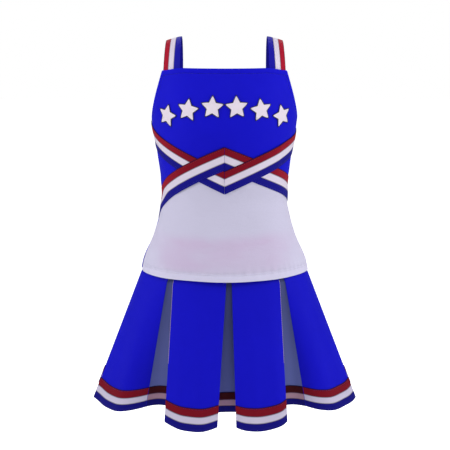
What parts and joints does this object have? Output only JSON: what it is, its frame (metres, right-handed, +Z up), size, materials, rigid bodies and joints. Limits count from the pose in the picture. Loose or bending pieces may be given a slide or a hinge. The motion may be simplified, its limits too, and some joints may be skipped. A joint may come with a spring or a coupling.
{
  "type": "cheer uniform",
  "caption": "Two-piece cheer uniform: sleeveless top with crossed ribbon trim and ribbon straps, over a box-pleated skirt.",
  "frame": {"origin": "centre of the waist opening, level with the middle of the skirt's waistband", "axes": "+Z up, -Y towards the front of the uniform, +X towards the wearer's left"},
  "size_m": [0.5484, 0.3357, 0.7639],
  "materials": {
    "royal_cloth": "smooth polyester suiting, faint twill",
    "white_knit": "soft white polyester knit",
    "stripe_ribbon": "grosgrain ribbon, striped red, white and navy",
    "pleat_lining": "grey-blue cloth inside the pleats",
    "star_patch": "white satin patch with a navy edge",
    "elastic": "ribbed elastic",
    "zip_tape": "woven zip tape",
    "zip_teeth": "moulded teeth",
    "closure_metal": "satin nickel finish"
  },
  "bodies": {
    "skirt": {"waistband_casing": "royal_cloth", "waistband_elastic": "elastic", "pleat_head_front": "royal_cloth", "pleat_head_back": "royal_cloth"},
    "top": {"bodice_front": "royal_cloth", "midriff_front": "white_knit", "back_left": "royal_cloth", "back_right": "royal_cloth", "neck_facing_front": "royal_cloth", "neck_facing_back_left": "royal_cloth", "neck_facing_back_right": "royal_cloth", "armhole_facing_left": "royal_cloth", "armhole_facing_right": "royal_cloth", "strap_left": "stripe_ribbon", "strap_right": "stripe_ribbon", "ribbon_vee_left": "stripe_ribbon", "ribbon_vee_right": "stripe_ribbon", "ribbon_peak_left": "stripe_ribbon", "ribbon_peak_right": "stripe_ribbon", "chest_stars": "star_patch", "zip_tape_left": "zip_tape", "zip_tape_right": "zip_tape", "zip_teeth_left": "zip_teeth", "zip_teeth_right": "zip_teeth", "zip_stops": "closure_metal", "neck_hook": "closure_metal", "neck_eye": "closure_metal"},
    "zip_slider": {"zip_slider": "closure_metal"},
    "zip_pull": {"zip_pull": "closure_metal"},
    "pleat_front_left": {"panel_front_left": "royal_cloth", "hem_ribbon_front_left": "stripe_ribbon"},
    "pleat_side_front_left": {"panel_side_front_left": "royal_cloth", "hem_ribbon_side_front_left": "stripe_ribbon", "underlay_front_left": "pleat_lining"},
    "pleat_side_back_left": {"panel_side_back_left": "royal_cloth", "hem_ribbon_side_back_left": "stripe_ribbon", "underlay_side_left": "pleat_lining", "underlay_rear_left": "pleat_lining"},
    "pleat_rear_left": {"panel_rear_left": "royal_cloth", "hem_ribbon_rear_left": "stripe_ribbon"},
    "pleat_front_right": {"panel_front_right": "royal_cloth", "hem_ribbon_front_right": "stripe_ribbon", "underlay_centre_front": "pleat_lining"},
    "pleat_side_front_right": {"panel_side_front_right": "royal_cloth", "hem_ribbon_side_front_right": "stripe_ribbon", "underlay_front_right": "pleat_lining"},
    "pleat_side_back_right": {"panel_side_back_right": "royal_cloth", "hem_ribbon_side_back_right": "stripe_ribbon", "underlay_side_right": "pleat_lining", "underlay_rear_right": "pleat_lining"},
    "pleat_rear_right": {"panel_rear_right": "royal_cloth", "hem_ribbon_rear_right": "stripe_ribbon", "underlay_centre_back": "pleat_lining"}
  },
  "joints": [
    {"name": "top_lift", "type": "slide", "parent": "skirt", "child": "top", "axis": [0, 0, 1], "range_m": [0, 0.15]},
    {"name": "zip_slide", "type": "slide", "parent": "top", "child": "zip_slider", "axis": [0, 0, -1], "range_m": [0, 0.225]},
    {"name": "pull_flap", "type": "hinge", "parent": "zip_slider", "child": "zip_pull", "pos_m": [0, 0.1011, 0.295], "axis": [1, 0, 0], "range_deg": [0, 165]},
    {"name": "swing_front_left", "type": "hinge", "parent": "skirt", "child": "pleat_front_left", "pos_m": [0.0657, -0.1, -0.0885], "axis": [-0.9682, -0.2502, 0], "range_deg": [0, 15]},
    {"name": "swing_side_front_left", "type": "hinge", "parent": "skirt", "child": "pleat_side_front_left", "pos_m": [0.1575, -0.0442, -0.0885], "axis": [-0.5816, -0.8134, 0], "range_deg": [0, 15]},
    {"name": "swing_side_back_left", "type": "hinge", "parent": "skirt", "child": "pleat_side_back_left", "pos_m": [0.1575, 0.0442, -0.0885], "axis": [0.5816, -0.8134, 0], "range_deg": [0, 15]},
    {"name": "swing_rear_left", "type": "hinge", "parent": "skirt", "child": "pleat_rear_left", "pos_m": [0.0626, 0.1008, -0.0885], "axis": [0.9714, -0.2374, 0], "range_deg": [0, 15]},
    {"name": "swing_front_right", "type": "hinge", "parent": "skirt", "child": "pleat_front_right", "pos_m": [-0.053, -0.103, -0.0885], "axis": [-0.9801, 0.1984, 0], "range_deg": [0, 15]},
    {"name": "swing_side_front_right", "type": "hinge", "parent": "skirt", "child": "pleat_side_front_right", "pos_m": [-0.1557, -0.0467, -0.0885], "axis": [-0.6071, 0.7946, 0], "range_deg": [0, 15]},
    {"name": "swing_side_back_right", "type": "hinge", "parent": "skirt", "child": "pleat_side_back_right", "pos_m": [-0.1575, 0.0442, -0.0885], "axis": [0.5816, 0.8134, 0], "range_deg": [0, 15]},
    {"name": "swing_rear_right", "type": "hinge", "parent": "skirt", "child": "pleat_rear_right", "pos_m": [-0.0626, 0.1008, -0.0885], "axis": [0.9714, 0.2374, 0], "range_deg": [0, 15]}
  ],
  "couplings": [
    {"joint": "swing_side_front_left", "follows": "swing_front_left", "ratio": 1},
    {"joint": "swing_side_back_left", "follows": "swing_front_left", "ratio": 1},
    {"joint": "swing_rear_left", "follows": "swing_front_left", "ratio": 1},
    {"joint": "swing_front_right", "follows": "swing_front_left", "ratio": 1},
    {"joint": "swing_side_front_right", "follows": "swing_front_left", "ratio": 1},
    {"joint": "swing_side_back_right", "follows": "swing_front_left", "ratio": 1},
    {"joint": "swing_rear_right", "follows": "swing_front_left", "ratio": 1}
  ]
}
